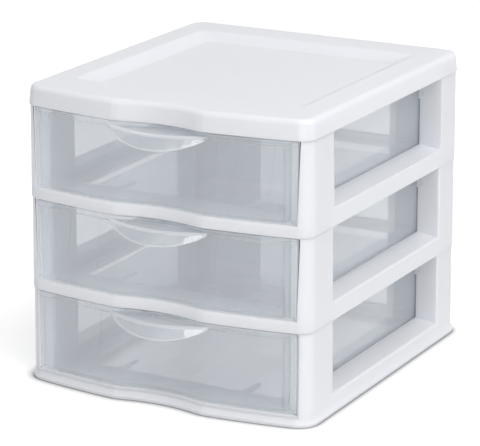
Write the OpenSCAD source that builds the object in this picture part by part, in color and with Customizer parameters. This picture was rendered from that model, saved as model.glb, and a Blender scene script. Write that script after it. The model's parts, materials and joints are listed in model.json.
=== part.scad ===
// Three-drawer desktop organiser for crafts and small parts.
// Three identical tiers stack: each is one white frame moulding with a clear drawer.
// A white cover closes the top. Origin: middle of the footprint on the table.
// +Z is up, the drawers open towards -Y. Millimetres.

/* [Frame outline] */
// Width across the cover
cover_w = 183.4; // [150:0.2:260]
// Depth of a frame from the front corners to the back face
frame_d = 199.5; // [150:0.5:300]
// How far the two front crests stand ahead of the front corners
crest_out = 8.6; // [4:0.1:14]
// How far the middle of the front dips back behind the crests
front_dip = 4.3; // [0.5:0.1:8]
// Distance of each front crest from the middle
crest_x = 27; // [20:0.5:40]
// Bulge of the front between crest and corner
lobe_bulge = 1.1; // [0:0.1:3]
// Softness of the bend at each crest
crest_soft = 0.5; // [0.1:0.1:2]
// Radius of the four upright corners in plan
corner_r = 9.8; // [7:0.2:16]

/* [Tiers] */
// Height of one tier, from one seam to the next
tier_h = 54.7; // [50:0.1:90]
// Thickness of the skirts, post walls and rails
wall = 2.2; // [1.6:0.1:3]
// Lean of the posts' outer faces over the height of a tier
post_draft = 0.5; // [0.1:0.1:1]
// Height of the deck that the drawer slides on
deck_top = 7; // [5:0.5:10]
// Thickness of the deck plate
deck_t = 2; // [1.4:0.1:3]
// Height of the side rail at its outer edge
rail_out_h = 11; // [9.5:0.1:14]
// Height of the side rail where it guides the drawer
rail_in_h = 12.7; // [11:0.1:16]
// Clear width between the side rails
bay_w = 153.4; // [110:0.2:156]
// Clear width between the front posts
front_gap_w = 168; // [158:0.5:169]
// Depth of the pocket between the front posts, behind the front corners
pocket_d = 5.5; // [4:0.1:8]
// Depth of a front post, seen from the side
front_post_d = 29.5; // [20:0.5:40]
// Depth of a rear post, seen from the side
rear_post_d = 28; // [20:0.5:40]
// Clear width of the opening in the back
back_gap_w = 90; // [40:1:140]
// Height of the lip along the back edge of the deck
rear_lip_h = 1; // [0.5:0.1:2]
// Width of the opening in the deck
deck_gap_w = 130; // [90:1:146]
// Depth of the deck in front of its opening, behind the front corners
front_ledge_d = 19; // [12:0.5:40]
// Depth of the deck behind its opening
rear_ledge_d = 17; // [6:0.5:40]
// Corner radius of the opening in the deck
deck_gap_r = 3; // [2:0.5:12]
// Distance of the two tongues in the opening from the middle
tongue_x = 41; // [15:0.5:50]
// Width of a tongue at its root
tongue_w = 5; // [3:0.5:12]
// Width of a tongue at its tip
tongue_tip_w = 1.6; // [1:0.1:3]
// Length of a tongue
tongue_l = 18; // [8:1:40]
// Height of the tenon on top of each post
tenon_h = 4; // [2:0.1:4.5]
// Sideways clearance of a tenon in the frame above it
tenon_gap = 0.2; // [0.1:0.05:0.4]

/* [Base foot] */
// How far the foot of the base frame flares out
foot_out = 1.9; // [0.6:0.1:2.5]
// Height of the flare
foot_h = 6.5; // [3:0.5:6.5]
// Height at which the flare is widest
foot_band = 2; // [0.5:0.1:2.5]
// How far the foot draws in again below that
foot_round = 0.5; // [0.2:0.1:0.8]

/* [Cover] */
// Height of the cover
cover_h = 11.8; // [10:0.1:16]
// How far the cover's lower edge stands out over the frames
cover_lap = 0.3; // [0.1:0.1:2]
// Inward lean of the cover's skirt up to its rounded edge
cover_lean = 0.9; // [0.2:0.1:1.5]
// Radius of the cover's rounded upper edge
cover_edge_r = 3.4; // [1.5:0.1:4]
// Width of the shallow tray in the cover's top
tray_w = 146.6; // [90:0.2:150]
// Distance of the tray behind the front corners
tray_front_d = 23.7; // [16:0.1:50]
// Distance of the tray from the frames' back face
tray_rear_d = 25.7; // [14:0.1:50]
// Depth of the tray
tray_depth = 4.3; // [4.2:0.1:5]
// Slope of the tray's side, as its run in plan
tray_slope = 10; // [1:0.5:14]
// Corner radius of the tray
tray_r = 5; // [3:0.5:20]

/* [Drawers] */
// Gap under a drawer and between its front and the deck
drawer_lift = 0.3; // [0.2:0.05:0.5]
// Sideways gap between a drawer and the side rails
drawer_side_gap = 0.5; // [0.3:0.05:1]
// Gap between a drawer and the frame's back wall
drawer_back_gap = 1.6; // [0.5:0.1:4]
// Gap above a drawer's front
drawer_top_gap = 0.8; // [0.4:0.1:2]
// Gap at each end of a drawer's front
front_end_gap = 0.4; // [0.3:0.05:1]
// How far a drawer's front stands back from the frame's front face
front_setback = 1; // [0.8:0.1:3]
// Thickness of a drawer's front
front_t = 1.8; // [1.2:0.1:2.5]
// Thickness of a drawer's sides, back and floor
drawer_t = 1.5; // [1:0.1:2.5]
// How far the sides and back stay below the top of the front
side_drop = 2.9; // [1:0.1:8]
// Corner radius at the back of a drawer
drawer_r = 6; // [3:0.5:12]
// Height of the raised band along the top of a drawer's front
band_h = 3; // [2:0.1:5]
// How far that band stands proud
band_out = 0.4; // [0.2:0.1:0.7]
// Width of a stop lug beside the drawer
lug_w = 3.2; // [2:0.1:6]
// Length of a stop lug
lug_l = 6; // [3:0.5:12]
// Height of a stop lug
lug_h = 8.7; // [4:0.1:16]
// Gap between a stop lug and the rear post
lug_gap = 0.5; // [0.3:0.1:2]

/* [Pulls] */
// Width of a pull where it meets the drawer's front
pull_w = 65; // [40:1:70]
// How far a pull stands out from the middle of the drawer's front
pull_out = 16; // [12:0.1:20]
// How much of that comes from the outward lean of the pull's skirt
pull_lean = 2; // [0.5:0.1:4]
// Thickness of a pull
pull_t = 1.6; // [1:0.1:2.5]
// How far a pull's top lies below the top of the drawer's front
pull_drop = 1.7; // [1:0.1:5]
// Height of a pull in its middle
pull_h = 9.3; // [6:0.1:16]
// Shape of the pull's lower edge: 0.5 is half an ellipse, 1 is a parabola
pull_fall = 0.76; // [0.5:0.02:1]

/* [Hidden] */

front_steps = 20;      // points on each half of the front
corner_steps = 7;      // steps round each upright corner
edge_steps = 3;        // steps over the cover's rounded edge
foot_front_steps = 17; // points on each half of the front of the foot's flare
foot_corner_steps = 8; // steps round each corner of that flare
slope_step = 0.5;      // span over which the front's slope is taken
cut = 1;               // overlap of a cut past the face it opens
bond = 0.2;            // overlap that fuses two shapes of one moulding
white = [0.93, 0.94, 0.96];
clear = [0.72, 0.78, 0.84, 0.45];

frame_hw = cover_w / 2 - cover_lap;
pull_reach = crest_out - front_dip - front_setback + pull_out;
unit_d = foot_out + frame_d + pull_reach;
corner_y = pull_reach - unit_d / 2;
back_y = corner_y + frame_d;
pocket_y = corner_y + pocket_d;
window_front_y = corner_y + front_post_d;
window_rear_y = back_y - rear_post_d;
rail_x = bay_w / 2;
rail_lean = (rail_in_h - rail_out_h) / (frame_hw - rail_x);
drawer_hw = rail_x - drawer_side_gap;
drawer_back_y = back_y - wall - drawer_back_gap;
drawer_z = deck_top + drawer_lift;
front_top_z = tier_h - drawer_top_gap;
side_top_z = front_top_z - side_drop;
front_hw = front_gap_w / 2 - front_end_gap;
pull_top_z = front_top_z - pull_drop;
pull_hw = pull_w / 2;
pull_sag = unit_d / 2 - pull_lean + front_point(pull_hw, front_setback)[1];
pull_r = (pow(pull_hw, 2) + pow(pull_sag, 2)) / (2 * pull_sag);
pull_c = pull_lean + pull_r - unit_d / 2;
tray_z = cover_h - tray_depth;

// Depth of the front ahead of its corners: a bulging lobe each side of a dip, softly joined.
function lobe_depth(x) =
    let (t = (frame_hw - abs(x)) / (frame_hw - crest_x))
    crest_out * t + 4 * lobe_bulge * t * (1 - t);
function dip_depth(x) = crest_out - front_dip * (1 - pow(x / crest_x, 2));
function front_depth(x) =
    let (a = lobe_depth(x), b = dip_depth(x))
    (a + b - sqrt(pow(a - b, 2) + pow(crest_soft, 2))) / 2;
function front_y(x) = corner_y - front_depth(x);
function front_slope(x) = (front_y(x + slope_step / 2) - front_y(x - slope_step / 2)) / slope_step;
function front_point(x, inset) =
    let (s = front_slope(x), n = sqrt(1 + s * s))
    [x - inset * s / n, front_y(x) + inset / n];

// Plan outline of a frame, moved inwards by inset.
function arc_points(c, r, from, to, steps) =
    [for (i = [0 : steps]) let (a = from + (to - from) * i / steps) c + r * [cos(a), sin(a)]];
function outline(inset, along = front_steps, round = corner_steps, full_r = corner_r) =
    let (r = full_r - inset,
         turn = atan(front_slope(frame_hw - full_r)),
         end_x = frame_hw - full_r * (1 - sin(turn)),
         c = front_point(end_x, full_r),
         rear_c = [frame_hw - full_r, back_y - full_r])
    concat(
        [for (i = [1 - along : along - 1]) front_point(end_x * i / along, inset)],
        arc_points(c, r, turn - 90, 0, round),
        arc_points(rear_c, r, 0, 90, round),
        arc_points([-rear_c[0], rear_c[1]], r, 90, 180, round),
        arc_points([-c[0], c[1]], r, 180, 270 - turn, round));
function foot_outline(inset) = outline(inset, foot_front_steps, foot_corner_steps, corner_r + foot_out);

// Rounded rectangle as points, from two opposite corners.
function round_rect(a, b, r) = concat(
    arc_points([b[0] - r, a[1] + r], r, -90, 0, corner_steps),
    arc_points([b[0] - r, b[1] - r], r, 0, 90, corner_steps),
    arc_points([a[0] + r, b[1] - r], r, 90, 180, corner_steps),
    arc_points([a[0] + r, a[1] + r], r, 180, 270, corner_steps));

// Solid through outlines of equal length, given from the lowest up as [z, points].
module loft(levels) {
    n = len(levels[0][1]);
    last = len(levels) - 1;
    points = [for (level = levels) for (p = level[1]) [p[0], p[1], level[0]]];
    sides = [for (k = [0 : last - 1]) for (i = [0 : n - 1])
        let (a = k * n + i, b = k * n + (i + 1) % n) [[a, a + n, b], [b, a + n, b + n]]];
    polyhedron(points, concat(
        [[for (i = [0 : n - 1]) i]],
        [for (pair = sides) for (face = pair) face],
        [[for (i = [n - 1 : -1 : 0]) last * n + i]]));
}

module both_sides() {
    children();
    mirror([1, 0, 0]) children();
}

module block(from, to) {
    translate(from) cube(to - from);
}

// Everything between two heights.
module slab(from_z, to_z) {
    block([-unit_d, -unit_d, from_z], [unit_d, unit_d, to_z]);
}

// Shape drawn in X and Z, carried along Y.
module along_y(from, to) {
    translate([0, to, 0]) rotate([90, 0, 0]) linear_extrude(height = to - from) children();
}

// Band of a drawer's front between two insets from the frame's outline.
module front_band(outer, inner, from_z, to_z) {
    xs = [for (i = [-front_steps : front_steps]) front_hw * i / front_steps];
    translate([0, 0, from_z]) linear_extrude(height = to_z - from_z) polygon(concat(
        [for (x = xs) [x, front_point(x, outer)[1]]],
        [for (i = [len(xs) - 1 : -1 : 0]) [xs[i], front_point(xs[i], inner)[1]]]));
}

// Hollow of a post, which also gives the tenon of the post below its plan.
module post_core(gap) {
    intersection() {
        polygon(outline(wall + gap));
        union() {
            translate([rail_x + wall + gap, pocket_y + wall + gap])
                square([frame_hw, front_post_d - pocket_d - 2 * (wall + gap)]);
            translate([rail_x + wall + gap, window_rear_y + wall + gap])
                square([frame_hw, rear_post_d]);
        }
    }
}

// Hollow of a side rail, open below.
module rail_hollow() {
    inner_x = rail_x + wall;
    outer_x = frame_hw - wall;
    polygon([[inner_x, 0], [outer_x, 0],
             [outer_x, rail_out_h - wall + rail_lean * wall],
             [inner_x, rail_in_h - wall - rail_lean * wall]]);
}

// Everything above the side rail between the posts, open to the side.
module window() {
    inner_x = rail_x - cut;
    outer_x = frame_hw + cut;
    along_y(window_front_y, window_rear_y)
        polygon([[inner_x, rail_in_h + rail_lean * cut], [outer_x, rail_out_h - rail_lean * cut],
                 [outer_x, tier_h + cut], [inner_x, tier_h + cut]]);
}

// One tier's frame: skirt, deck with its opening, side rails and four hollow posts with tenons.
module frame_moulding() {
    draft = post_draft / tier_h;
    difference() {
        union() {
            intersection() {
                loft([[-cut, outline(-draft * cut)], [tier_h + cut, outline(draft * (tier_h + cut))]]);
                slab(0, tier_h);
            }
            translate([0, 0, tier_h - bond]) linear_extrude(height = tenon_h + bond)
                both_sides() post_core(tenon_gap);
        }
        block([-rail_x, pocket_y - cut, deck_top], [rail_x, back_y - wall, tier_h + cut]);
        block([-front_gap_w / 2, -unit_d, deck_top], [front_gap_w / 2, pocket_y, tier_h + cut]);
        block([-back_gap_w / 2, back_y - wall - cut, deck_top + rear_lip_h],
              [back_gap_w / 2, back_y + cut, tier_h + cut]);
        both_sides() window();
        translate([0, 0, -cut]) linear_extrude(height = deck_top - deck_t + cut) polygon(outline(wall));
        translate([0, 0, -cut]) linear_extrude(height = deck_top + 2 * cut) deck_gap();
        both_sides() along_y(window_front_y - wall - bond, window_rear_y + wall + bond) rail_hollow();
        linear_extrude(height = tier_h - wall) both_sides() post_core(0);
    }
}

// Opening in the deck, with a tongue each side that points back from its front edge.
module deck_gap() {
    gap_y = corner_y + front_ledge_d;
    difference() {
        polygon(round_rect([-deck_gap_w / 2, gap_y],
                           [deck_gap_w / 2, back_y - rear_ledge_d], deck_gap_r));
        both_sides() translate([tongue_x, gap_y])
            polygon([[-tongue_w / 2, -cut], [tongue_w / 2, -cut],
                     [tongue_tip_w / 2, tongue_l], [-tongue_tip_w / 2, tongue_l]]);
    }
}

// Lowest frame, with a foot that flares out all round.
module base_moulding() {
    frame_moulding();
    difference() {
        intersection() {
            loft([[-cut, foot_outline(foot_round * (1 + cut / foot_band) - foot_out)],
                  [foot_band, foot_outline(-foot_out)],
                  [foot_h, foot_outline(bond)], [foot_h + cut, foot_outline(wall / 3)]]);
            slab(0, foot_h);
        }
        translate([0, 0, -cut]) linear_extrude(height = foot_h + 2 * cut) polygon(outline(wall / 2));
    }
}

// Cover: skirt with a rounded upper edge, shallow tray, and a seat with a socket over each post.
module cover_moulding() {
    edge_z = cover_h - cover_edge_r;
    lean_in = cover_lean - cover_lap;
    rim_in = lean_in + cover_edge_r;
    edge_levels = [for (i = [1 : edge_steps]) let (a = 90 * i / edge_steps)
        [edge_z + cover_edge_r * sin(a), outline(lean_in + cover_edge_r * (1 - cos(a)))]];
    tray_a = [-tray_w / 2, corner_y + tray_front_d];
    tray_b = [tray_w / 2, back_y - tray_rear_d];
    slope = [tray_slope, tray_slope];
    thick = [wall, wall];
    difference() {
        intersection() {
            loft(concat([[-cut, outline(-cover_lap - cover_lean * cut / edge_z)], [edge_z, outline(lean_in)]],
                        edge_levels, [[cover_h + cut, outline(rim_in)]]));
            slab(0, cover_h);
        }
        loft([[tray_z, round_rect(tray_a + slope, tray_b - slope, tray_r)],
              [cover_h, round_rect(tray_a, tray_b, tray_r)],
              [cover_h + cut, round_rect(tray_a, tray_b, tray_r)]]);
        translate([0, 0, -cut]) linear_extrude(height = tenon_h + wall / 2 + cut)
            both_sides() post_core(0);
        difference() {
            translate([0, 0, -cut]) {
                linear_extrude(height = edge_z + cut) polygon(outline(lean_in + wall));
                linear_extrude(height = cover_h - wall + cut) polygon(outline(rim_in + wall / 2));
            }
            translate([0, 0, tray_z - wall]) linear_extrude(height = cover_h)
                polygon(round_rect(tray_a - thick, tray_b + thick, tray_r + wall));
            linear_extrude(height = cover_h) difference() {
                both_sides() post_core(-wall);
                both_sides() post_core(0);
            }
            translate([0, 0, tenon_h + wall / 2]) linear_extrude(height = cover_h)
                both_sides() post_core(0);
        }
    }
}

// Everything ahead of a drawer's front, with a little overlap into it.
module ahead_of_front() {
    reach = front_setback + bond;
    polygon(concat([[frame_hw, -unit_d], [-frame_hw, -unit_d]],
        [for (i = [-front_steps : front_steps])
            let (x = frame_hw * i / front_steps) [x, front_point(x, reach)[1]]]));
}

// A pull's outline from the front, with its curved lower edge.
module pull_face() {
    end_z = pull_top_z - pull_t / 2;
    fall = pull_h - pull_t / 2;
    polygon(concat(
        [[-pull_w, pull_top_z + cut], [-pull_w, end_z]],
        [for (i = [-front_steps : front_steps])
            let (t = i / front_steps) [pull_hw * t, end_z - fall * pow(1 - t * t, pull_fall)]],
        [[pull_w, end_z], [pull_w, pull_top_z + cut]]));
}

// Hood pull: a flat top and a leaning skirt, open below and behind.
module pull() {
    intersection() {
        difference() {
            pull_cone(0, 0);
            translate([0, 0, -pull_t]) pull_cone(pull_t, cut);
        }
        translate([0, 0, pull_top_z - pull_h]) linear_extrude(height = pull_h) ahead_of_front();
        along_y(-unit_d, corner_y) pull_face();
    }
}

// Cone that a pull is cut from, smaller by shrink and deeper by below.
module pull_cone(shrink, below) {
    lean = pull_lean / pull_h;
    translate([0, pull_c, pull_top_z - pull_h - below]) cylinder(h = pull_h + below,
        r1 = pull_r + pull_lean + lean * below - shrink, r2 = pull_r - shrink, $fn = 180);
}

// One drawer: box, front with its raised band, stop lugs and pull, all one clear moulding.
module drawer_moulding() {
    inner_hw = drawer_hw - drawer_t;
    inner_y = drawer_back_y - drawer_t;
    inner_r = drawer_r - drawer_t;
    back = arc_points([drawer_hw - drawer_r, drawer_back_y - drawer_r], drawer_r, 0, 90, corner_steps);
    hollow = arc_points([inner_hw - inner_r, inner_y - inner_r], inner_r, 0, 90, corner_steps);
    front_band(front_setback, front_setback + front_t, drawer_z, front_top_z);
    front_band(front_setback - band_out, front_setback + bond, front_top_z - band_h, front_top_z);
    difference() {
        translate([0, 0, drawer_z]) linear_extrude(height = side_top_z - drawer_z)
            polygon(box_points(drawer_hw, front_setback + front_t - bond, back));
        translate([0, 0, drawer_z + drawer_t]) linear_extrude(height = tier_h)
            polygon(box_points(inner_hw, front_setback + front_t, hollow));
    }
    both_sides() block(
        [drawer_hw - bond, window_rear_y - lug_gap - lug_l, side_top_z - lug_h],
        [drawer_hw + lug_w, window_rear_y - lug_gap, side_top_z]);
    pull();
}

// Plan of a drawer's box: the front's curve, then one back corner's points and their mirror image.
function box_points(half_w, inset, corner) = concat(
    [for (i = [-front_steps : front_steps])
        let (x = half_w * i / front_steps) [x, front_point(x, inset)[1]]],
    corner,
    [for (i = [len(corner) - 1 : -1 : 0]) [-corner[i][0], corner[i][1]]]);

module cover() { color(white) translate([0, 0, 3 * tier_h]) cover_moulding(); }
module upper_frame() { color(white) translate([0, 0, 2 * tier_h]) frame_moulding(); }
module middle_frame() { color(white) translate([0, 0, tier_h]) frame_moulding(); }
module base_frame() { color(white) base_moulding(); }
module upper_drawer() { color(clear) translate([0, 0, 2 * tier_h]) drawer_moulding(); }
module middle_drawer() { color(clear) translate([0, 0, tier_h]) drawer_moulding(); }
module lower_drawer() { color(clear) drawer_moulding(); }

cover();
upper_frame();
middle_frame();
base_frame();
upper_drawer();
middle_drawer();
lower_drawer();
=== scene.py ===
"""Desktop unit of three stacked drawers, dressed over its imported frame.

Three white frame mouldings stack under a white cover, and each holds a clear drawer with a
moulded hood pull. Every visible moulding is modelled from its solid: its copy is merged, its
edges are rounded by the radius that each kind of edge has, and it gets a procedural plastic.
Metres throughout, in the frame's own axes: +Z up, the drawers open towards -Y. Only the planes
that tell one edge from another are in millimetres, as their names say.
"""

import json
import logging
import math
from dataclasses import dataclass, field
from enum import Enum
from typing import Any, Callable, ClassVar, Iterable

import bpy
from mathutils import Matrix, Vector

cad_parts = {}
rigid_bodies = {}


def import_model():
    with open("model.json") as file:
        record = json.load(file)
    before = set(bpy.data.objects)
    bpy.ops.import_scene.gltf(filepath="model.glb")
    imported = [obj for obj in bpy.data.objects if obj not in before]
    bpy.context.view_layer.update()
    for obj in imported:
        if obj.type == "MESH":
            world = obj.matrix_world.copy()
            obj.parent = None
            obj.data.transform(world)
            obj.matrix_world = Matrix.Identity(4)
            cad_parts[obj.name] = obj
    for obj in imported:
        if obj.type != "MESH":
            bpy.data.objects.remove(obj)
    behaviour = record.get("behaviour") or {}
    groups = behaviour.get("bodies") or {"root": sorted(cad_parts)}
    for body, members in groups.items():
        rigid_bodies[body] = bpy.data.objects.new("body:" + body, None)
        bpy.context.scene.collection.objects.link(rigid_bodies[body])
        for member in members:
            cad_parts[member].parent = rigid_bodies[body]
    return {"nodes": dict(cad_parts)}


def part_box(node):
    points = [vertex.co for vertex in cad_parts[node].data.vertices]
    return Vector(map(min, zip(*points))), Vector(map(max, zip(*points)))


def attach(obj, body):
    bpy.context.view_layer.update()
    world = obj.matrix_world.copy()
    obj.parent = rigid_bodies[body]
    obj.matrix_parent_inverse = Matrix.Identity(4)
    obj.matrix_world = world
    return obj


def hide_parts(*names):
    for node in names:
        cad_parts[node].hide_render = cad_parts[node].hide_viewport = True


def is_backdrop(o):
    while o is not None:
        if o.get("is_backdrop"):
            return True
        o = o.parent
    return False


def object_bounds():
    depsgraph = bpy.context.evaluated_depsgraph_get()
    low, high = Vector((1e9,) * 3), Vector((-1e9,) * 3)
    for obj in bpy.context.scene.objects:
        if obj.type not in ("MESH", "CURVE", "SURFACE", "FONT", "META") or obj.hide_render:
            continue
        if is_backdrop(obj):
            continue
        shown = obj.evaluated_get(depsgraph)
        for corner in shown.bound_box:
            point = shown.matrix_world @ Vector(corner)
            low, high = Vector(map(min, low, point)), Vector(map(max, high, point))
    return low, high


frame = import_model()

CAD_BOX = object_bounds()
MM = 0.001
LOG = logging.getLogger("drawer_unit")
Colour = tuple[float, float, float, float]

# Least cosine between a normal and a way for it to point mostly, and straight, that way.
MOSTLY, STRAIGHT = 0.7, 0.99
# How near to a plane an edge counts as on it, in millimetres.
NEAR = 0.1


# --- Shader building ---------------------------------------------------------------------------

@dataclass(frozen=True)
class Wire:
    """A shader value that takes part in Python arithmetic.

    Attributes:
        sheet: The node tree that the value belongs to.
        socket: The output socket that carries it.
    """

    sheet: "Sheet"
    socket: bpy.types.NodeSocket

    def _math(self, operation: str, *values: Any) -> "Wire":
        """Adds one Math node.

        Args:
            operation: The Math node's operation.
            *values: Its inputs, as wires or numbers.

        Returns:
            The node's result.
        """
        return self.sheet.node("Math", {"operation": operation}, dict(enumerate(values)))[0]

    def __add__(self, other: Any) -> "Wire":
        """Sum of the two values."""
        return self._math("ADD", self, other)

    def __sub__(self, other: Any) -> "Wire":
        """This value less the other."""
        return self._math("SUBTRACT", self, other)

    def __rsub__(self, other: Any) -> "Wire":
        """The other value less this one."""
        return self._math("SUBTRACT", other, self)

    def __mul__(self, other: Any) -> "Wire":
        """Product of the two values."""
        return self._math("MULTIPLY", self, other)

    __radd__ = __add__
    __rmul__ = __mul__

    def at_most(self, top: Any) -> "Wire":
        """The smaller of this value and another."""
        return self._math("MINIMUM", self, top)


class Sheet:
    """The node tree of a material or of the world, filled node by node."""

    def __init__(self, owner: bpy.types.Material | bpy.types.World) -> None:
        """Starts with an empty tree.

        Args:
            owner: The material or world that the tree belongs to.
        """
        self.owner = owner
        self.owner.use_nodes = True
        self.tree = self.owner.node_tree
        self.tree.nodes.clear()

    def node(self, kind: str, settings: dict[str, Any] | None = None,
             values: dict[Any, Any] | None = None) -> list[Wire]:
        """Adds a shader node.

        Args:
            kind: The node's type without its ShaderNode prefix.
            settings: Node properties, set before the inputs.
            values: Inputs by name or index, as wires or constants.

        Returns:
            The node's outputs as wires, in order.
        """
        made = self.tree.nodes.new("ShaderNode" + kind)
        for key, value in (settings or {}).items():
            setattr(made, key, value)
        for key, value in (values or {}).items():
            if isinstance(value, Wire):
                self.tree.links.new(value.socket, made.inputs[key])
            else:
                made.inputs[key].default_value = value
        return [Wire(self, output) for output in made.outputs]

    def place(self, scale: float) -> Wire:
        """Object coordinates, scaled.

        Args:
            scale: Pattern cells per metre.

        Returns:
            The scaled coordinate vector.
        """
        spot = self.node("TexCoord")[3]
        return self.node("Mapping", None, {"Vector": spot, "Scale": (scale, scale, scale)})[0]

    def noise(self, scale: float, detail: float = 2.0) -> Wire:
        """Noise from 0 to 1 on object coordinates.

        Args:
            scale: Pattern cells per metre.
            detail: Octaves of the noise.

        Returns:
            The noise value.
        """
        return self.node("TexNoise", None, {"Vector": self.place(scale), "Scale": 1.0,
                                            "Detail": detail})[0]

    def blend(self, factor: Any, low: Colour, high: Colour) -> Wire:
        """Mixes two colours.

        Args:
            factor: Share of the second colour.
            low: First colour.
            high: Second colour.

        Returns:
            The mixed colour.
        """
        return self.node("Mix", {"data_type": "RGBA"}, {0: factor, 6: low, 7: high})[2]

    def mix(self, factor: Any, first: Wire, second: Wire) -> Wire:
        """Mixes two shaders.

        Args:
            factor: Share of the second shader.
            first: First shader.
            second: Second shader.

        Returns:
            The mixed shader.
        """
        return self.node("MixShader", None, {0: factor, 1: first, 2: second})[0]

    def finish(self, surface: Wire) -> bpy.types.Material | bpy.types.World:
        """Ends the tree in its output.

        Args:
            surface: The shader to show.

        Returns:
            The finished material or world.
        """
        in_world = isinstance(self.owner, bpy.types.World)
        self.node("OutputWorld" if in_world else "OutputMaterial", None, {"Surface": surface})
        return self.owner


class Ray(Enum):
    """Kinds of ray, by the Light Path node's outputs."""

    CAMERA = 0
    SHADOW = 1
    DIFFUSE = 2
    GLOSSY = 3
    TRANSMISSION = 6


def any_ray(sheet: Sheet, *kinds: Ray) -> Wire:
    """Tells a shader whether it is met by one of some kinds of ray.

    Args:
        sheet: The node tree to read it in.
        *kinds: The kinds of ray.

    Returns:
        1 for a ray of one of these kinds, 0 for any other.
    """
    path = sheet.node("LightPath")
    met = path[kinds[0].value]
    for kind in kinds[1:]:
        met = met + path[kind.value]
    return met.at_most(1.0)


# --- Finishes ----------------------------------------------------------------------------------

@dataclass(frozen=True)
class WhitePlastic:
    """Injection-moulded white plastic with a satin skin.

    Attributes:
        name: The material's name.
        colour: The plastic where it is cleanest.
        shade: The plastic where the skin is a touch duller.
        cloud_scale: Dull and clean patches per metre.
        cloud_detail: Octaves of their outlines.
        roughness: Roughness of the cleanest skin.
        cloud_roughness: Roughness that a dull patch adds.
        grain_roughness: Roughness that the moulded grain adds.
        grain_scale: Cells of the fine moulded grain per metre.
        grain_depth: Height of that grain, in metres.
        grain_strength: How strongly it shows.
        glow_through: Share of the light that goes into the thin wall and spreads there.
        spread: How far it spreads, in metres.
        gloss: Weight of the thin gloss on top.
        gloss_roughness: Roughness of that gloss.
    """

    name: str = "white_plastic"
    colour: Colour = (0.855, 0.87, 0.915, 1.0)
    shade: Colour = (0.83, 0.845, 0.895, 1.0)
    cloud_scale: float = 14.0
    cloud_detail: float = 3.0
    roughness: float = 0.34
    cloud_roughness: float = 0.08
    grain_roughness: float = 0.04
    grain_scale: float = 900.0
    grain_depth: float = 0.00003
    grain_strength: float = 0.25
    glow_through: float = 0.55
    spread: float = 0.0045
    gloss: float = 0.12
    gloss_roughness: float = 0.22

    def build(self) -> bpy.types.Material:
        """Builds the material.

        Returns:
            The white plastic.
        """
        sheet = Sheet(bpy.data.materials.new(self.name))
        cloud = sheet.noise(self.cloud_scale, self.cloud_detail)
        grain = sheet.noise(self.grain_scale)
        bump = sheet.node("Bump", None, {"Height": grain, "Strength": self.grain_strength,
                                         "Distance": self.grain_depth})[0]
        dulling = cloud * self.cloud_roughness + grain * self.grain_roughness
        skin = sheet.node("BsdfPrincipled", None, {
            "Base Color": sheet.blend(cloud, self.shade, self.colour),
            "Roughness": self.roughness + dulling,
            "Subsurface Weight": self.glow_through,
            "Subsurface Radius": (1.0, 1.0, 1.0),
            "Subsurface Scale": self.spread,
            "Coat Weight": self.gloss,
            "Coat Roughness": self.gloss_roughness,
            "Normal": bump,
        })[0]
        return sheet.finish(skin)


@dataclass(frozen=True)
class ClearPlastic:
    """Clear moulded plastic with a faint blue cast and a trace of haze.

    Light goes straight through it, since its walls are thin, and its coat carries the
    reflections of the skin.

    Attributes:
        name: The material's name.
        tint: Colour of what passes through a skin of it.
        pale_tint: The same where the moulding flowed thinner.
        haze_colour: Colour of its faint haze.
        shadow_tint: Colour of the light that a skin of it lets through to what lies behind.
        haze: Share of the light that the haze scatters.
        haze_roughness: Roughness of the haze.
        flow_scale: Marks of the moulding's flow per metre.
        flow_roughness: Roughness that they add.
        roughness: Roughness of its skin.
        body_ior: Refractive index that light goes through it by.
        skin_ior: Refractive index that the skin reflects by.
        skin_roughness: Roughness of those reflections.
    """

    name: str = "clear_plastic"
    tint: Colour = (0.885, 0.905, 0.925, 1.0)
    pale_tint: Colour = (0.90, 0.92, 0.94, 1.0)
    haze_colour: Colour = (0.77, 0.80, 0.85, 1.0)
    shadow_tint: Colour = (0.975, 0.98, 0.985, 1.0)
    haze: float = 0.24
    haze_roughness: float = 0.35
    flow_scale: float = 22.0
    flow_roughness: float = 0.02
    roughness: float = 0.03
    body_ior: float = 1.012
    skin_ior: float = 1.5
    skin_roughness: float = 0.05

    def build(self) -> bpy.types.Material:
        """Builds the material.

        Returns:
            The clear plastic.
        """
        sheet = Sheet(bpy.data.materials.new(self.name))
        flow = sheet.noise(self.flow_scale)
        glass = sheet.node("BsdfPrincipled", None, {
            "Base Color": sheet.blend(flow, self.tint, self.pale_tint),
            "Roughness": self.roughness + flow * self.flow_roughness,
            "IOR": self.body_ior,
            "Transmission Weight": 1.0,
            "Coat Weight": 1.0,
            "Coat Roughness": self.skin_roughness,
            "Coat IOR": self.skin_ior,
        })[0]
        haze = sheet.node("BsdfPrincipled", None, {"Base Color": self.haze_colour,
                                                   "Roughness": self.haze_roughness})[0]
        body = sheet.mix(self.haze, glass, haze)
        open_air = sheet.node("BsdfTransparent", None, {"Color": self.shadow_tint})[0]
        return sheet.finish(sheet.mix(any_ray(sheet, Ray.SHADOW, Ray.DIFFUSE), body, open_air))


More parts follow.
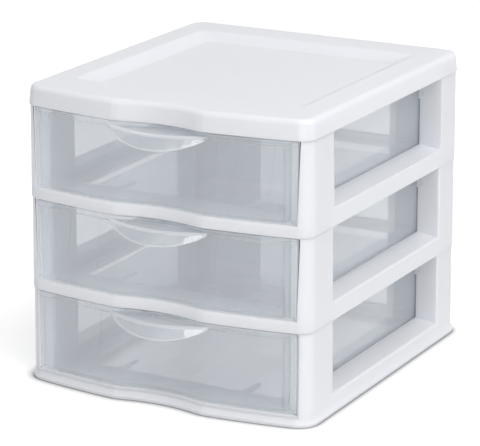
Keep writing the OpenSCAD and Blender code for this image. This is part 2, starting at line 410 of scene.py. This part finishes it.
@dataclass(frozen=True)
class FloorPaint:
    """Plain floor that the camera sees as white, that keeps the unit's lamp shadows, and that has a
    painted contact shadow right under the foot.

    Attributes:
        name: The material's name.
        colour: Colour that lights the unit.
        glow: Light added where the floor is seen straight, mirrored or through clear plastic.
        seam: Colour of the painted contact shadow right under the foot, where no light gets in.
        contact: How far from the foot its painted contact shadow reaches, in metres.
        samples: Rays that look for the foot.
    """

    name: str = "floor_paint"
    colour: Colour = (0.80, 0.80, 0.80, 1.0)
    glow: Colour = (0.54, 0.54, 0.54, 1.0)
    seam: Colour = (0.10, 0.10, 0.11, 1.0)
    contact: float = 0.007
    samples: int = 16

    def build(self) -> bpy.types.Material:
        """Builds the material.

        Returns:
            The floor's paint.
        """
        sheet = Sheet(bpy.data.materials.new(self.name))
        openness = sheet.node("AmbientOcclusion", {"samples": self.samples},
                              {"Distance": self.contact})[1]
        matt = sheet.node("BsdfDiffuse", None, {"Color": self.colour})[0]
        painted_contact_shadow = sheet.node("BsdfDiffuse", None, {"Color": self.seam})[0]
        glow = sheet.node("Emission", None, {"Color": self.glow, "Strength": 1.0})[0]
        lifted = sheet.node("AddShader", None, {0: matt, 1: glow})[0]
        # Painted contact shadow: where ambient occlusion finds the foot close by, the floor turns
        # to the dark seam colour.
        shown = sheet.mix(1.0 - openness * openness, lifted, painted_contact_shadow)
        seen = any_ray(sheet, Ray.CAMERA, Ray.GLOSSY, Ray.TRANSMISSION)
        return sheet.finish(sheet.mix(seen, matt, shown))


# --- Modelling ---------------------------------------------------------------------------------

def select_only(*things: bpy.types.Object) -> None:
    """Selects the given objects and nothing else, and makes the first one active.

    Args:
        *things: The objects to select.
    """
    bpy.ops.object.select_all(action="DESELECT")
    for thing in things:
        thing.select_set(True)
    bpy.context.view_layer.objects.active = things[0]


def apply_modifier(piece: bpy.types.Object, kind: str, **settings: Any) -> None:
    """Adds a modifier and applies it at once.

    Args:
        piece: The object to change.
        kind: The modifier's type.
        **settings: The modifier's properties.
    """
    select_only(piece)
    made = piece.modifiers.new(kind.lower(), kind)
    for key, value in settings.items():
        setattr(made, key, value)
    bpy.ops.object.modifier_apply(modifier=made.name)


def edge_faces(mesh: bpy.types.Mesh) -> dict[tuple[int, int], list[int]]:
    """Finds the faces on each edge.

    Args:
        mesh: The mesh.

    Returns:
        Face indices by the edge's two sorted vertex indices.
    """
    found: dict[tuple[int, int], list[int]] = {}
    for face in mesh.polygons:
        for key in face.edge_keys:
            found.setdefault(key, []).append(face.index)
    return found


def outward(one: bpy.types.MeshPolygon, two: bpy.types.MeshPolygon) -> bool:
    """Tells whether two faces meet in an outward edge.

    Args:
        one: The first face.
        two: The second face.

    Returns:
        True if the second face falls away behind the first.
    """
    return (two.center - one.center).dot(one.normal) < 0.0


def either(one: Vector, two: Vector, x: float = 0.0, y: float = 0.0, z: float = 0.0) -> bool:
    """Tells whether one of two normals points mostly one way.

    Args:
        one: The first normal.
        two: The second normal.
        x: The way's share along X.
        y: Its share along Y.
        z: Its share along Z.

    Returns:
        True if one of them does.
    """
    way = Vector((x, y, z))
    return max(one.dot(way), two.dot(way)) > MOSTLY


@dataclass(frozen=True)
class EdgeRule:
    """Radius of one kind of edge on a moulding.

    Attributes:
        name: What the edges are.
        radius: Their radius, in metres.
        fits: Tells whether an edge is of this kind, from its middle in millimetres above the
            moulding's foot and from its two faces' outward normals.
    """

    name: str
    radius: float
    fits: Callable[[Vector, Vector, Vector], bool]


class Turn(Enum):
    """Smallest turn between two faces, in degrees, for an edge to count."""

    ROUNDED = 40.0
    SHARP = 35.0
    CREASE = 7.0
    TRAY = 15.0


class Plastic(Enum):
    """Material slots of the record."""

    WHITE = "white_plastic"
    CLEAR = "clear_plastic"


@dataclass
class Moulding:
    """One moulded piece, modelled from the copy of its solid.

    Attributes:
        node: The solid's node.
        body: The body that it moves with.
        segments: Faces across each rounded edge.
        merge: Distance under which the solid's points are one, in metres.
        flat: Turn under which two faces of the solid are one, in degrees.
        pull_to_flats: How strongly the flats set the normals of the rounded edges.
        front_plane: Plane in front of which only the wavy front lies, in millimetres.
        crest_x: Where a lobe of the front meets its dip, either side of the middle, in millimetres.
        crest_spread: How far from there, and how far off the upright, it may run, in millimetres.
        foot: The height of its foot, once it is built.
        piece: The piece, once it is built.
        plastic: The plastic that it is moulded in.
    """

    node: str
    body: str
    segments: int = 3
    merge: float = 0.01 * MM
    flat: float = 0.12
    pull_to_flats: int = 80
    front_plane: float = -85.0
    crest_x: float = 27.0
    crest_spread: float = 3.0
    foot: Vector = field(default_factory=Vector, init=False)
    piece: bpy.types.Object | None = field(default=None, init=False)

    plastic: ClassVar[Plastic] = Plastic.WHITE

    def rules(self) -> tuple[EdgeRule, ...]:
        """Lists the radii of its edges, of which the first that fits an edge is used."""
        raise NotImplementedError

    def build(self, materials: tuple[bpy.types.Material, ...]) -> bpy.types.Object:
        """Models, dresses and seats the piece.

        Args:
            materials: Its plastic and, where that looks different, its rounded edges' whiter,
                hazier plastic, which paints a highlight along them.

        Returns:
            The finished piece.
        """
        self.foot = Vector((0.0, 0.0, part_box(self.node)[0].z))
        self.piece = self.copy_solid()
        self.piece.data.materials.clear()
        for material in materials:
            self.piece.data.materials.append(material)
        self.weigh_edges()
        self.round_edges(len(materials) - 1)
        self.smooth()
        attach(self.piece, self.body)
        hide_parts(self.node)
        LOG.info("%s: %d faces", self.piece.name, len(self.piece.data.polygons))
        return self.piece

    def copy_solid(self) -> bpy.types.Object:
        """Copies the solid's mesh as clean flat faces.

        Returns:
            The copy, loose from its body.
        """
        select_only(frame["nodes"][self.node])
        bpy.ops.object.duplicate(linked=False)
        piece = bpy.context.view_layer.objects.active
        bpy.ops.object.parent_clear(type="CLEAR_KEEP_TRANSFORM")
        piece.name = self.node + "_shell"
        for key in list(piece.keys()):
            del piece[key]
        bpy.ops.object.mode_set(mode="EDIT")
        bpy.ops.mesh.select_all(action="SELECT")
        bpy.ops.mesh.customdata_custom_splitnormals_clear()
        bpy.ops.mesh.remove_doubles(threshold=self.merge)
        bpy.ops.mesh.dissolve_limited(angle_limit=math.radians(self.flat))
        bpy.ops.object.mode_set(mode="OBJECT")
        return piece

    def pairs(self) -> Iterable[tuple[bpy.types.MeshEdge, bpy.types.MeshPolygon,
                                      bpy.types.MeshPolygon]]:
        """Walks the edges that lie between two faces.

        Returns:
            Each edge with its two faces.
        """
        mesh = self.piece.data
        faces_of = edge_faces(mesh)
        for edge in mesh.edges:
            faces = faces_of.get(tuple(sorted(edge.vertices)), [])
            if len(faces) == 2:
                yield edge, mesh.polygons[faces[0]], mesh.polygons[faces[1]]

    def ends(self, edge: bpy.types.MeshEdge) -> tuple[Vector, Vector]:
        """Finds an edge's two ends.

        Args:
            edge: An edge of the piece.

        Returns:
            The ends, in millimetres, their heights from the moulding's foot.
        """
        low, high = ((self.piece.data.vertices[i].co - self.foot) / MM for i in edge.vertices)
        return low, high

    def weigh_edges(self) -> None:
        """Gives each outward edge the share of the largest radius that its rule asks for."""
        rules = self.rules()
        largest = max(rule.radius for rule in rules)
        weights = self.piece.data.attributes.new("bevel_weight_edge", "FLOAT", "EDGE")
        for edge, one, two in self.pairs():
            turn = math.degrees(one.normal.angle(two.normal, 0.0))
            if turn < Turn.ROUNDED.value or not outward(one, two):
                continue
            low, high = self.ends(edge)
            middle = (low + high) / 2
            for rule in rules:
                if rule.fits(middle, one.normal, two.normal):
                    weights.data[edge.index].value = rule.radius / largest
                    break

    def round_edges(self, material: int) -> None:
        """Rounds the weighed edges.

        Args:
            material: Index of the material that the rounded edges get.
        """
        apply_modifier(self.piece, "BEVEL", width=max(rule.radius for rule in self.rules()),
                       segments=self.segments, limit_method="WEIGHT", use_clamp_overlap=False,
                       miter_outer="MITER_ARC", harden_normals=False, material=material)

    def smooth(self) -> None:
        """Smooths the rounded edges and keeps the flats and the crisp edges as they are."""
        select_only(self.piece)
        bpy.ops.object.shade_smooth_by_angle(angle=math.radians(Turn.SHARP.value))
        for edge, one, two in self.pairs():
            if self.is_crisp(edge, one.normal, two.normal):
                edge.use_edge_sharp = True
        apply_modifier(self.piece, "WEIGHTED_NORMAL", keep_sharp=True, weight=self.pull_to_flats)

    def is_crisp(self, edge: bpy.types.MeshEdge, one: Vector, two: Vector) -> bool:
        """Tells whether an edge runs up the front where a lobe meets the dip.

        Args:
            edge: An edge of the piece.
            one: Normal of one of its faces.
            two: Normal of the other face.

        Returns:
            True if it does.
        """
        low, high = self.ends(edge)
        middle = (low + high) / 2
        return (math.degrees(one.angle(two, 0.0)) > Turn.CREASE.value
                and abs(low.x - high.x) <= self.crest_spread and middle.y < self.front_plane
                and abs(abs(middle.x) - self.crest_x) <= self.crest_spread)


# --- The unit's mouldings ----------------------------------------------------------------------

@dataclass
class Cover(Moulding):
    """White cover with a wide shallow tray in its top.

    Attributes:
        skirt_radius: Radius of the skirt's lower edges, in metres.
        rim_radius: Radius of the top's and the tray's outward edges, in metres.
        skirt_top: Top of the skirt's lower edges, in millimetres.
        rim_foot: Foot of the top's edges, in millimetres.
        tray_foot: Foot of the tray's slopes, in millimetres.
        tray_half: Plane inside which the slopes lie at both sides, in millimetres.
        tray_front: Plane behind which they lie, in millimetres.
    """

    skirt_radius: float = 0.4 * MM
    rim_radius: float = 1.2 * MM
    skirt_top: float = 0.3
    rim_foot: float = 11.5
    tray_foot: float = 7.2
    tray_half: float = 74.0
    tray_front: float = -72.0

    def rules(self) -> tuple[EdgeRule, ...]:
        """Lists the radii of its edges.

        Returns:
            The rules, the first that fits an edge being used.
        """
        return (
            EdgeRule("skirt", self.skirt_radius, lambda p, a, b: p.z < self.skirt_top),
            EdgeRule("tray rim", self.rim_radius, lambda p, a, b: p.z > self.rim_foot),
        )

    def is_crisp(self, edge: bpy.types.MeshEdge, one: Vector, two: Vector) -> bool:
        """Tells whether an edge borders a lobe of the front or a slope of the tray.

        Args:
            edge: An edge of the piece.
            one: Normal of one of its faces.
            two: Normal of the other face.

        Returns:
            True if it does.
        """
        low, high = self.ends(edge)
        middle = (low + high) / 2
        in_tray = (middle.z > self.tray_foot and abs(middle.x) < self.tray_half
                   and middle.y > self.tray_front)
        on_slope = (math.degrees(one.angle(two, 0.0)) > Turn.TRAY.value
                    and max(one.z, two.z) > STRAIGHT and min(one.z, two.z) > MOSTLY)
        return super().is_crisp(edge, one, two) or (in_tray and on_slope)


@dataclass
class Frame(Moulding):
    """White frame of one tier: front rail, deck, side rails, posts, back wall and tenons.

    Attributes:
        seam_radius: Radius where two tiers meet, in metres.
        tenon_radius: Radius of the tenons' edges, in metres.
        rail_radius: Radius along the top of the front rail, in metres.
        lip_radius: Radius of the edges round the deck's lip, in metres.
        post_radius: Radius down the front posts, in metres.
        window_radius: Radius round the side windows, in metres.
        back_radius: Radius round the back's opening, in metres.
        inner_radius: Radius of the edges inside, in metres.
        tier: Height of a tier, in millimetres.
        foot_reach: How far up the seam at its foot reaches, in millimetres.
        top_reach: How far from its top the seam there reaches, in millimetres.
        deck_top: Top of the deck, in millimetres.
        lip_top: Top of the deck's lip, in millimetres.
        post_inner: Plane outside which the front posts lie, in millimetres.
        side_plane: Plane outside which only the side faces lie, in millimetres.
        back_plane: Plane behind which only the back face lies, in millimetres.
    """

    seam_radius: float = 0.4 * MM
    tenon_radius: float = 0.4 * MM
    rail_radius: float = 2.0 * MM
    lip_radius: float = 0.4 * MM
    post_radius: float = 1.5 * MM
    window_radius: float = 1.2 * MM
    back_radius: float = 0.9 * MM
    inner_radius: float = 0.5 * MM
    tier: float = 54.7
    foot_reach: float = 0.4
    top_reach: float = 0.3
    deck_top: float = 7.0
    lip_top: float = 8.0
    post_inner: float = 83.0
    side_plane: float = 89.0
    back_plane: float = 108.0

    def rules(self) -> tuple[EdgeRule, ...]:
        """Lists the radii of its edges.

        Returns:
            The rules, the first that fits an edge being used.
        """
        return (
            EdgeRule("seams", self.seam_radius,
                     lambda p, a, b: p.z < self.foot_reach
                     or abs(p.z - self.tier) < self.top_reach),
            EdgeRule("tenons", self.tenon_radius, lambda p, a, b: p.z > self.tier),
            EdgeRule("front rail", self.rail_radius,
                     lambda p, a, b: abs(p.z - self.deck_top) < NEAR
                     and p.y < self.front_plane and either(a, b, z=1.0)),
            EdgeRule("deck's lip", self.lip_radius, lambda p, a, b: p.z < self.lip_top + NEAR),
            EdgeRule("front posts", self.post_radius,
                     lambda p, a, b: p.y < self.front_plane
                     and abs(p.x) > self.post_inner and either(a, b, y=-1.0)),
            EdgeRule("side windows", self.window_radius,
                     lambda p, a, b: abs(p.x) > self.side_plane),
            EdgeRule("back opening", self.back_radius, lambda p, a, b: p.y > self.back_plane),
            EdgeRule("inner edges", self.inner_radius,
                     lambda p, a, b: p.z > self.deck_top - NEAR),
        )


@dataclass
class Drawer(Moulding):
    """Clear drawer: box, curved front with its raised band, stop lugs and hood pull.

    Attributes:
        band_end_radius: Radius at the ends of the front's raised band, in metres.
        shoulder_radius: Radius along the pull's shoulder, in metres.
        shoulder_end_radius: The same near the ends, where the pull gets thin, in metres.
        side_radius: Radius down the front's sides, in metres.
        front_radius: Radius of the front's other edges, in metres.
        box_radius: Radius of the box's edges, in metres.
        panel_plane: Plane in front of which only the drawer's front lies, in millimetres.
        pull_plane: Plane in front of which the pull lies, in millimetres.
        pull_top: Top of the pull, in millimetres.
        tip_depth: How far below that its thin tips reach, in millimetres.
        tip_rise: How far above it they reach, in millimetres.
        tip_inner: Where those tips begin, from the middle, in millimetres.
        tip_outer: Where they end, in millimetres.
        shoulder_half: Where the full shoulder radius ends, in millimetres.
        band_foot: Foot of the raised band, in millimetres.
        band_end: Where the ends of the band begin, in millimetres.
        side_edge: Where the front's sides begin, in millimetres.
    """

    band_end_radius: float = 0.2 * MM
    shoulder_radius: float = 1.5 * MM
    shoulder_end_radius: float = 0.8 * MM
    side_radius: float = 0.9 * MM
    front_radius: float = 0.55 * MM
    box_radius: float = 0.45 * MM
    panel_plane: float = -88.0
    pull_plane: float = -96.0
    pull_top: float = 44.9
    tip_depth: float = 2.8
    tip_rise: float = 0.6
    tip_inner: float = 29.8
    tip_outer: float = 34.0
    shoulder_half: float = 28.2
    band_foot: float = 43.3
    band_end: float = 81.0
    side_edge: float = 83.0

    plastic: ClassVar[Plastic] = Plastic.CLEAR

    def rules(self) -> tuple[EdgeRule, ...]:
        """Lists the radii of its edges, with none on the pull's thin tips.

        Returns:
            The rules, the first that fits an edge being used.
        """
        return (
            EdgeRule("pull tips", 0.0, lambda p, a, b: self.is_tip(p)),
            EdgeRule("pull shoulder", self.shoulder_radius,
                     lambda p, a, b: self.is_shoulder(p) and abs(p.x) < self.shoulder_half),
            EdgeRule("shoulder ends", self.shoulder_end_radius,
                     lambda p, a, b: self.is_shoulder(p)),
            EdgeRule("band's ends", self.band_end_radius,
                     lambda p, a, b: p.y < self.panel_plane and abs(p.x) > self.band_end
                     and p.z > self.band_foot),
            EdgeRule("front's sides", self.side_radius,
                     lambda p, a, b: p.y < self.panel_plane and abs(p.x) > self.side_edge
                     and either(a, b, y=-1.0)),
            EdgeRule("front", self.front_radius, lambda p, a, b: p.y < self.panel_plane),
            EdgeRule("box", self.box_radius, lambda p, a, b: True),
        )

    def is_tip(self, middle: Vector) -> bool:
        """Tells whether an edge lies on a thin tip of the pull.

        Args:
            middle: The edge's middle, in millimetres.

        Returns:
            True if it does.
        """
        return (middle.y < self.pull_plane and self.tip_inner < abs(middle.x) < self.tip_outer
                and self.pull_top - self.tip_depth < middle.z < self.pull_top + self.tip_rise)

    def is_shoulder(self, middle: Vector) -> bool:
        """Tells whether an edge runs along the top of the pull.

        Args:
            middle: The edge's middle, in millimetres.

        Returns:
            True if it does.
        """
        return (middle.y < self.pull_plane and abs(middle.z - self.pull_top) < NEAR
                and abs(middle.x) < self.tip_outer)


# --- Studio ------------------------------------------------------------------------------------

@dataclass(frozen=True)
class Softbox:
    """An area lamp aimed at the unit.

    Attributes:
        name: The lamp's name.
        place: Where it stands, in metres.
        size: Its width and height, in metres.
        power: Its power, in watts.
    """

    name: str
    place: tuple[float, float, float]
    size: tuple[float, float]
    power: float

    def build(self, target: Vector) -> bpy.types.Object:
        """Hangs the lamp.

        Args:
            target: The point that it faces.

        Returns:
            The lamp.
        """
        data = bpy.data.lights.new(self.name, "AREA")
        data.shape = "RECTANGLE"
        data.size, data.size_y = self.size
        data.energy = self.power
        lamp = bpy.data.objects.new(self.name, data)
        bpy.context.scene.collection.objects.link(lamp)
        lamp.location = self.place
        lamp.rotation_euler = (target - Vector(self.place)).to_track_quat("-Z", "Y").to_euler()
        return lamp


@dataclass(frozen=True)
class Studio:
    """Camera, lamps and white floor.

    Attributes:
        azimuth: Camera's turn round the unit from its front, in degrees.
        elevation: Camera's height above the horizon, in degrees.
        distance: Distance from camera to target, in metres.
        lens: Focal length, in millimetres.
        target: What the camera looks at, in metres.
        far: How far the camera sees, in metres.
        sky: Strength of the even light from all round.
        floor_half: Half of the floor's width, in metres.
        lamps: The lamps.
    """

    azimuth: float = 28.53
    elevation: float = 16.45
    distance: float = 1.5387
    lens: float = 194.02
    target: tuple[float, float, float] = (-0.00555, 0.00745, 0.07992)
    far: float = 50.0
    sky: float = 0.52
    floor_half: float = 6.0
    lamps: tuple[Softbox, ...] = (
        Softbox("key", (1.05, -0.40, 1.80), (1.5, 1.5), 23.5),
        Softbox("top", (0.1, 0.2, 2.0), (1.6, 1.6), 3.0),
        Softbox("front", (1.2, -2.2, 0.34), (1.6, 0.55), 12.5),
    )

    def build(self) -> None:
        """Sets the whole studio up."""
        self.place_camera()
        for lamp in self.lamps:
            lamp.build(Vector(self.target))
        self.lay_floor()
        self.light_sky()
        bpy.context.scene.view_settings.view_transform = "Standard"
        LOG.info("studio: %d lamps", len(self.lamps))

    def place_camera(self) -> None:
        """Places the camera at the photograph's angle."""
        azimuth, elevation = math.radians(self.azimuth), math.radians(self.elevation)
        back = Vector((math.sin(azimuth) * math.cos(elevation),
                       -math.cos(azimuth) * math.cos(elevation), math.sin(elevation)))
        data = bpy.data.cameras.new("camera")
        data.lens = self.lens
        data.sensor_fit = "HORIZONTAL"
        data.clip_end = self.far
        camera = bpy.data.objects.new("camera", data)
        bpy.context.scene.collection.objects.link(camera)
        camera.location = Vector(self.target) + back * self.distance
        camera.rotation_euler = (-back).to_track_quat("-Z", "Y").to_euler()
        bpy.context.scene.camera = camera

    def lay_floor(self) -> None:
        """Lays the floor under the unit."""
        bpy.ops.object.select_all(action="DESELECT")
        bpy.ops.mesh.primitive_plane_add(size=2 * self.floor_half, location=(0.0, 0.0, 0.0))
        floor = bpy.context.view_layer.objects.active
        floor.name = "floor"
        floor.data.materials.append(FloorPaint().build())
        floor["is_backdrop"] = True

    def light_sky(self) -> None:
        """Fills the world with even light that the camera sees as white."""
        sheet = Sheet(bpy.data.worlds.new("sky"))
        lit = sheet.node("Background", None, {"Strength": self.sky})[0]
        shown = sheet.node("Background", None, {"Strength": 1.0})[0]
        seen = any_ray(sheet, Ray.CAMERA, Ray.GLOSSY, Ray.TRANSMISSION)
        bpy.context.scene.world = sheet.finish(sheet.mix(seen, lit, shown))


def write_sizes() -> None:
    """Works out the solids' box and the dressed unit's box as plain lists, but writes them nowhere.
    """
    boxes = {"cad": CAD_BOX, "visual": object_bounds()}
    plain = {name: [list(corner) for corner in box] for name, box in boxes.items()}


def mouldings() -> Iterable[Moulding]:
    """Lists the unit's mouldings from the top down.

    Returns:
        The mouldings, not yet built.
    """
    yield Cover("cover", "housing")
    for node in ("upper_frame", "middle_frame", "base_frame"):
        yield Frame(node, "housing")
    for node in ("upper_drawer", "middle_drawer", "lower_drawer"):
        yield Drawer(node, node)


def main() -> None:
    """Sets the studio up and builds every moulding."""
    logging.basicConfig(level=logging.INFO, format="%(name)s: %(message)s")
    Studio().build()
    # Whiter, hazier clear plastic for the drawers' rounded edges: partly the real extra haze where
    # light runs through more plastic, partly a painted highlight standing in for the bright lines
    # that light draws along clear edges.
    edges = ClearPlastic("clear_plastic_edge_haze_and_painted_highlight", haze_colour=(0.93, 0.95, 0.97, 1.0), haze=0.42)
    materials = {
        Plastic.WHITE: (WhitePlastic().build(),),
        Plastic.CLEAR: (ClearPlastic().build(), edges.build()),
    }
    for moulding in mouldings():
        moulding.build(materials[moulding.plastic])
    write_sizes()


if __name__ == "__main__":
    main()
